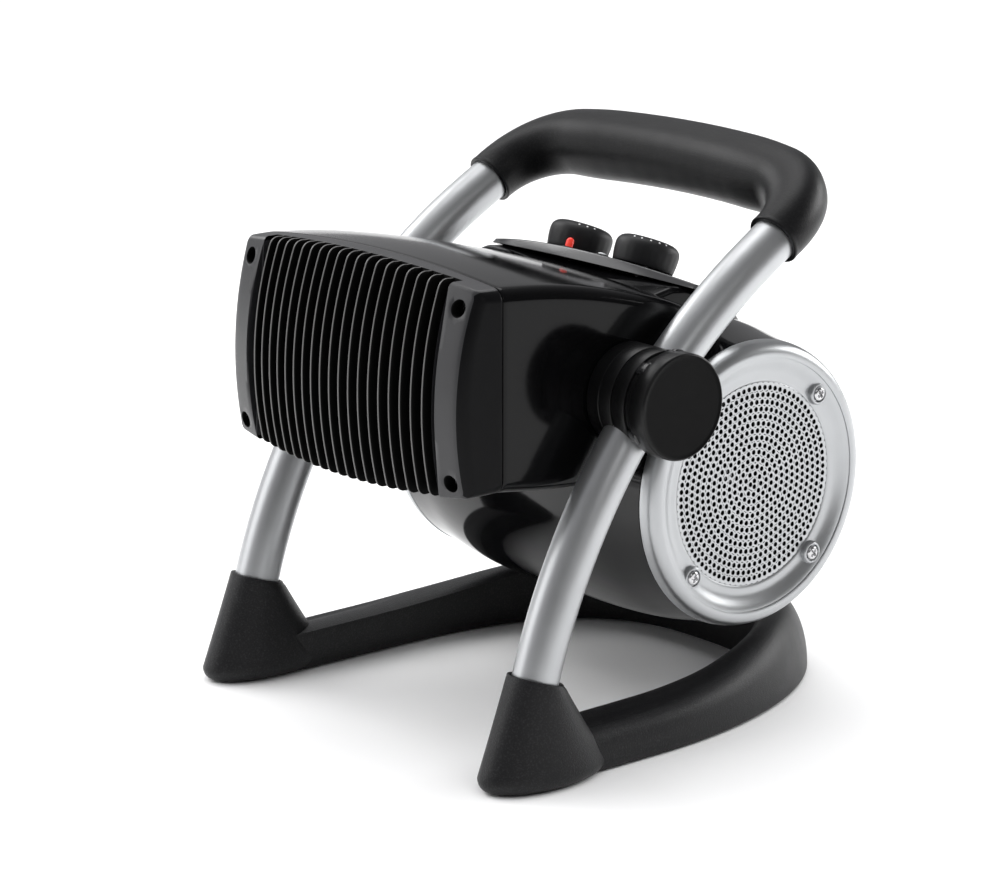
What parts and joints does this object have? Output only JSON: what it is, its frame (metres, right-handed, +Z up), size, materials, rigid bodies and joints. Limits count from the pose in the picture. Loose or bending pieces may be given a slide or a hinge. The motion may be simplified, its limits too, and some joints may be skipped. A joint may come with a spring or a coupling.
{
  "type": "ceramic space heater",
  "caption": "Portable ceramic fan heater: a tilting black housing with a slatted outlet and blower drum, held on hubs in a silver tube frame with a carrying handle and moulded base.",
  "frame": {"origin": "middle of the footprint box, on the floor the base stands on", "axes": "+X along the tilt axis to the object's right-hand end as the control panel is read, -Y the way the air blows, +Z up"},
  "size_m": [0.2614, 0.2788, 0.2719],
  "materials": {
    "base_black": "satin, fine grained",
    "pad_rubber": "matte",
    "tube_silver": "satin silver",
    "grip_charcoal": "satin soft touch",
    "hub_black": "satin",
    "housing_black": "gloss",
    "grille_black": "satin",
    "cap_silver": "satin silver",
    "mesh_silver": "satin silver, perforated",
    "screw_bright": "bright",
    "screw_dark": "black",
    "panel_black": "satin",
    "knob_charcoal": "matte",
    "lens_red": "translucent, glowing",
    "lens_clear": "clear",
    "steel": "plain",
    "nylon": "plain",
    "black_nylon": "plain",
    "fibre": "plain",
    "motor_steel": "plain",
    "bearing_brass": "sintered",
    "element_fins": "finned ceramic pack",
    "frame_heat": "heat-resistant",
    "duct": "sheet"
  },
  "bodies": {
    "frame": {"base_moulding": "base_black", "base_pads": "pad_rubber", "base_screws": "steel", "tube_end_plugs": "nylon", "frame_tube": "tube_silver", "handle_grip": "grip_charcoal", "clamp_bolts": "steel", "pivot_clamp_inner_right": "hub_black", "pivot_clamp_inner_left": "hub_black", "pivot_clamp_outer_right": "hub_black", "pivot_clamp_outer_left": "hub_black", "pivot_cap_right": "hub_black", "pivot_cap_left": "hub_black", "friction_washer_right": "fibre", "friction_washer_left": "fibre", "pivot_keeper_ring_right": "steel", "pivot_keeper_ring_left": "steel"},
    "head": {"front_grille": "grille_black", "grille_screws": "screw_dark", "housing_upper": "housing_black", "housing_lower": "housing_black", "element_frame": "frame_heat", "ceramic_heating_element": "element_fins", "thermal_cutout": "steel", "air_duct": "duct", "motor_stator": "motor_steel", "motor_bearings": "bearing_brass", "motor_bracket": "black_nylon", "control_panel": "panel_black", "selector_switch": "black_nylon", "thermostat_body": "nylon", "power_indicator_lens": "lens_red", "caution_indicator_lens": "lens_clear", "tip_over_switch": "black_nylon", "terminal_block": "nylon", "cord_inlet_gland": "black_nylon", "pivot_bush_right": "nylon", "inlet_ring_right": "black_nylon", "end_cap_right": "cap_silver", "intake_grille_right": "mesh_silver", "end_cap_screws_right": "screw_bright", "pivot_bush_left": "nylon", "inlet_ring_left": "black_nylon", "end_cap_left": "cap_silver", "intake_grille_left": "mesh_silver", "end_cap_screws_left": "screw_bright"},
    "rotor": {"rotor_shaft": "steel", "blower_wheel_right": "black_nylon", "blower_wheel_left": "black_nylon"},
    "function_knob": {"function_knob": "knob_charcoal", "selector_shaft": "black_nylon"},
    "thermostat_knob": {"thermostat_knob": "knob_charcoal", "thermostat_shaft": "steel"}
  },
  "joints": [
    {"name": "head_tilt", "type": "hinge", "parent": "frame", "child": "head", "pos_m": [0, -0.03665, 0.1705], "axis": [1, 0, 0], "range_deg": [-8, 24]},
    {"name": "blower_spin", "type": "hinge", "parent": "head", "child": "rotor", "pos_m": [0, 0.04345, 0.1131], "axis": [1, 0, 0], "continuous": true},
    {"name": "function_knob_turn", "type": "hinge", "parent": "head", "child": "function_knob", "pos_m": [-0.0242, 0.03455, 0.20863], "axis": [0, 0.3746, 0.9272], "range_deg": [-45, 90]},
    {"name": "thermostat_knob_turn", "type": "hinge", "parent": "head", "child": "thermostat_knob", "pos_m": [0.0242, 0.03455, 0.20863], "axis": [0, 0.3746, 0.9272], "range_deg": [-135, 135]}
  ]
}
